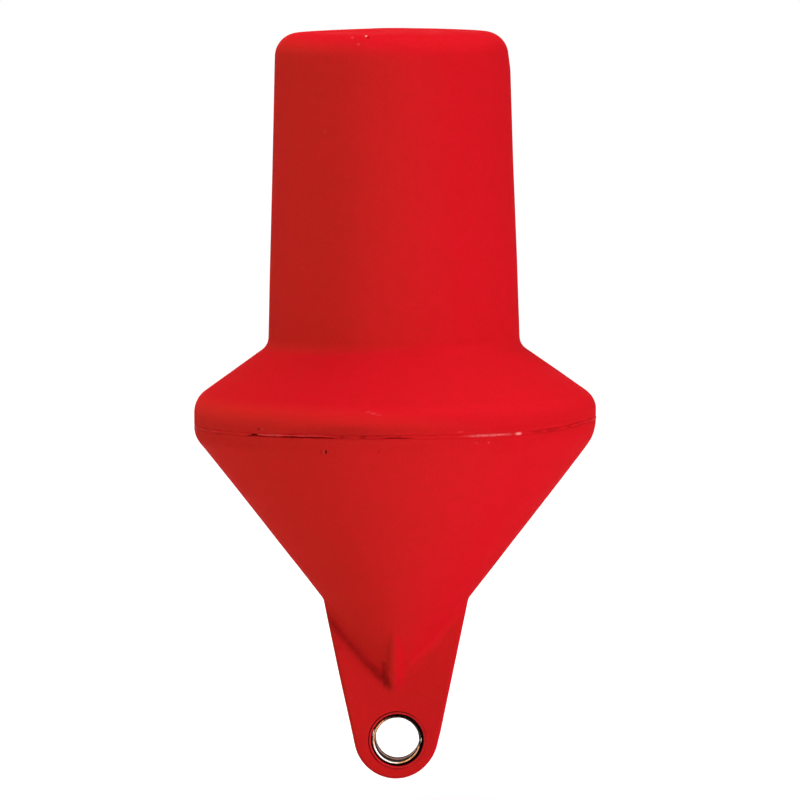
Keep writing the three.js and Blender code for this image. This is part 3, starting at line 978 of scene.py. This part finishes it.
def red_plastic(name, roughness):
    """Through-coloured polyethylene with faint clouding, fine grit, orange peel and a few pits."""
    shader = Material(name, IOR=1.46, Specular_IOR_Level=0.004)
    cells = shader.add("ShaderNodeTexVoronoi", {"Vector": shader.place, "Scale": 85})
    pits = shader.span(cells.outputs["Distance"], 0.03, 0.09, 1, 0)
    # Painted light on the colour: a paler belt, a red that changes with facing, painted shade and painted
    # highlights.
    colour = belt_highlight_and_facing_tint(shader, speckled_red(shader, pits))
    shader.use("Base Color", marks_and_painted_light(shader, colour))
    patches = shader.noise(scale=35, detail=3, roughness=0.6)
    shader.use("Roughness", shader.span(patches, 0.3, 0.7, roughness - 0.07, roughness + 0.07))
    peel = shader.noise(scale=160, detail=2, roughness=0.5)
    grain = shader.noise(scale=900, detail=2, roughness=0.6)
    normal = shader.bump(pits, distance=-0.0003, strength=0.6)
    normal = shader.bump(peel, distance=0.0003, strength=0.45, under=normal)
    shader.use("Normal", shader.bump(grain, distance=0.0001, strength=0.5, under=normal))
    return shader.material


ZINC = (0.93, 0.90, 0.84)
SHADED_BROWN_ZINC = (0.46, 0.23, 0.10)
SHADED_ORANGE_ZINC = (0.50, 0.22, 0.10)
LIP_SHADE_BLACK = (0.030, 0.018, 0.012)
PALE_BORE = (0.92, 0.50, 0.38)
DARK_BORE = (0.016, 0.008, 0.006)


def from_eye_axis(shader, place):
    """How far a place lies aside of the bush's axis, above it and out from it."""
    axis = shader.maths("ADD", shader.maths("MULTIPLY", place["Y"], EYE_SKEW), EYE_ASIDE)
    aside = shader.maths("SUBTRACT", place["X"], axis)
    above = shader.maths("SUBTRACT", place["Z"], EYE_HEIGHT + EYE_RISE)
    squares = (shader.maths("POWER", aside, 2.0), shader.maths("POWER", above, 2.0))
    return aside, above, shader.maths("SQRT", shader.maths("ADD", *squares))


def plating_and_lip_shade(shader, aside, above, radius):
    """Zinc, pale at the -X side. Painted shade makes it darker and browner towards +X and above, and black
    at the upper right.
    """
    blotches = shader.span(shader.noise(scale=220, detail=3, roughness=0.6), 0.25, 0.75, -0.3, 0.3)
    across = shader.maths("ADD", shader.maths("DIVIDE", aside, radius), blotches)
    upwards = shader.maths("ADD", shader.maths("DIVIDE", above, radius), blotches)
    plating = shader.blend(shader.span(across, -0.50, 0.2), ZINC, SHADED_BROWN_ZINC)
    plating = shader.blend(shader.span(upwards, -0.45, 0.0), plating, SHADED_ORANGE_ZINC)
    into_shade = shader.maths("ADD", shader.maths("MULTIPLY", across, 0.85), upwards)
    return shader.blend(shader.span(into_shade, 0.35, 0.70), plating, LIP_SHADE_BLACK)


def plated_steel():
    """Zinc plating, darker round part of the lip by painted shade. The bore is pale and dull along its
    middle, and nearly black towards both ends.
    """
    pale_middle, pale_half, dark_from, raggedness = 0.002, 0.0075, 0.0100, 0.006
    bore_edge, plating_edge = BUSH_BORE_RADIUS + 0.0002, BUSH_BORE_RADIUS + 0.0006
    shader = Material("plated_steel")
    place = shader.split(shader.place)
    aside, above, radius = from_eye_axis(shader, place)
    in_bore = shader.span(radius, bore_edge, plating_edge, 1, 0)
    along = shader.maths("ABSOLUTE", shader.maths("SUBTRACT", place["Y"], pale_middle))
    uneven = shader.noise(scale=180, detail=3, roughness=0.6)
    ragged = shader.maths("ADD", along, shader.maths("MULTIPLY", uneven, raggedness))
    darkened = shader.span(ragged, pale_half, dark_from)
    bore = shader.blend(darkened, PALE_BORE, DARK_BORE)
    plating = plating_and_lip_shade(shader, aside, above, radius)
    shader.use("Base Color", shader.blend(in_bore, plating, bore))
    dull = shader.maths("MULTIPLY", in_bore, shader.span(darkened, 0, 1, 0.7, 1.0))
    shader.use("Metallic", shader.maths("SUBTRACT", 1.0, dull))
    shader.use("Specular IOR Level", shader.span(in_bore, 0, 1, 0.5, 0.02))
    patches = shader.noise(scale=150, detail=3, roughness=0.6)
    rough = shader.span(patches, 0.3, 0.7, 0.16, 0.40)
    shader.use("Roughness", shader.maths("ADD", rough, shader.maths("MULTIPLY", in_bore, 0.4)))
    grain = shader.noise(scale=700, detail=3, roughness=0.6)
    shader.use("Normal", shader.bump(grain, distance=0.00008, strength=0.5))
    return shader.material


# ---- Stage ---------------------------------------------------------------------------------------

CAMERA_DISTANCE = 8.0
CAMERA_HEIGHT = 0.590
CAMERA_ASIDE = 0.0049
CAMERA_PITCH = math.radians(4.062)
CAMERA_ROLL = math.radians(0.20)
CAMERA_LENS = 361.8

FLOOR_DROP = 0.06
FLOOR_RADIUS = 30.0

AMBIENT = 0.156

# Round lamps that all look at the middle of the seam: name, place, width and watts.
LAMPS = [
    ("key", (2.64, -1.42, 0.0), 1.0, 40.5),
    ("top", (0.0, 0.0, 3.0), 1.6, 48),
    ("left", (-0.92, -1.27, 2.56), 0.9, 28),
    ("low", (0.0, -2.2, -0.33), 0.15, 4.5),
    ("rim", (-1.3, 0.9, 0.05), 0.3, 2.2),
]


def place_camera():
    data = bpy.data.cameras.new("camera")
    data.lens = CAMERA_LENS
    data.clip_end = 100
    camera = bpy.data.objects.new("camera", data)
    bpy.context.scene.collection.objects.link(camera)
    turn = Matrix.Rotation(math.pi / 2 - CAMERA_PITCH, 4, "X") @ Matrix.Rotation(-CAMERA_ROLL, 4, "Z")
    place = Matrix.Translation((CAMERA_ASIDE, -CAMERA_DISTANCE, CAMERA_HEIGHT))
    camera.matrix_world = place @ turn
    bpy.context.scene.camera = camera


def hang_lamp(name, place, width, watts):
    data = bpy.data.lights.new(name, "AREA")
    data.shape = "DISK"
    data.size = width
    data.energy = watts
    lamp = bpy.data.objects.new(name, data)
    bpy.context.scene.collection.objects.link(lamp)
    aim = (Vector((0, 0, 0)) - Vector(place)).to_track_quat("-Z", "Y")
    lamp.matrix_world = Matrix.Translation(place) @ aim.to_matrix().to_4x4()


def make_world():
    """Even light from all round. Seen directly or mirrored it is plain white."""
    world = bpy.data.worlds.new("world")
    bpy.context.scene.world = world
    world.use_nodes = True
    nodes = Nodes(world.node_tree)
    background = world.node_tree.nodes["Background"]
    nodes.feed(background.inputs["Color"], (1, 1, 1, 1))
    strength = nodes.span(nodes.seen_or_mirrored(), 0, 1, AMBIENT, 1.0)
    nodes.feed(background.inputs["Strength"], strength)


def floor_material():
    """Pale grey to the light. To the eye it is white, down to light grey in a shadow.

    The lamps fade with distance, so the floor's own glow makes up for them.
    """
    fade_start, fade_end = 0.2, 2.2
    near_glow, far_glow = 0.30, 0.90
    shader = Material("floor", Base_Color=(0.92, 0.92, 0.92, 1), Roughness=0.9, Specular_IOR_Level=0.0)
    strength = shader.span(shader.length(shader.place), fade_start, fade_end, near_glow, far_glow)
    lit = shader.add("ShaderNodeBsdfDiffuse", {"Color": (1, 1, 1, 1)}).outputs[0]
    glow = shader.add("ShaderNodeEmission", {"Strength": strength}).outputs[0]
    white = shader.add("ShaderNodeAddShader", {0: lit, 1: glow}).outputs[0]
    surfaces = {0: shader.seen_or_mirrored(), 1: shader.surface.outputs[0], 2: white}
    mix = shader.add("ShaderNodeMixShader", surfaces)
    shader.feed(shader.tree.nodes["Material Output"].inputs["Surface"], mix.outputs[0])
    return shader.material


def make_floor():
    """A pale floor just under the buoy, which hangs clear of it as it has no foot to stand on."""
    side_count = 96
    rim = revolve([(FLOOR_RADIUS, LOWEST - FLOOR_DROP)], side_count)[0]
    floor = new_object("floor", rim, [tuple(range(side_count))])
    floor.data.materials.append(floor_material())


# ---- Assembly ------------------------------------------------------------------------------------


def dress(piece, node, material):
    """Gives a piece its material, hangs it under the root and hides the frame's node it stands in for."""
    piece.data.materials.clear()
    piece.data.materials.append(material)
    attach(piece, "root")
    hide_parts(node)


shell_plastic = red_plastic("red_shell", 0.65)
dress(make_upper_shell(), "upper_shell", shell_plastic)
dress(make_lower_shell(), "lower_shell", shell_plastic)
dress(make_seam_bead(), "seam_bead", red_plastic("red_weld", 0.50))
dress(make_eye_bush(), "eye_bush", plated_steel())
dress(make_filler_plug(), "filler_plug", red_plastic("red_plug", 0.65))

place_camera()
make_world()
make_floor()
for lamp in LAMPS:
    hang_lamp(*lamp)

bpy.context.scene.view_settings.view_transform = "Standard"
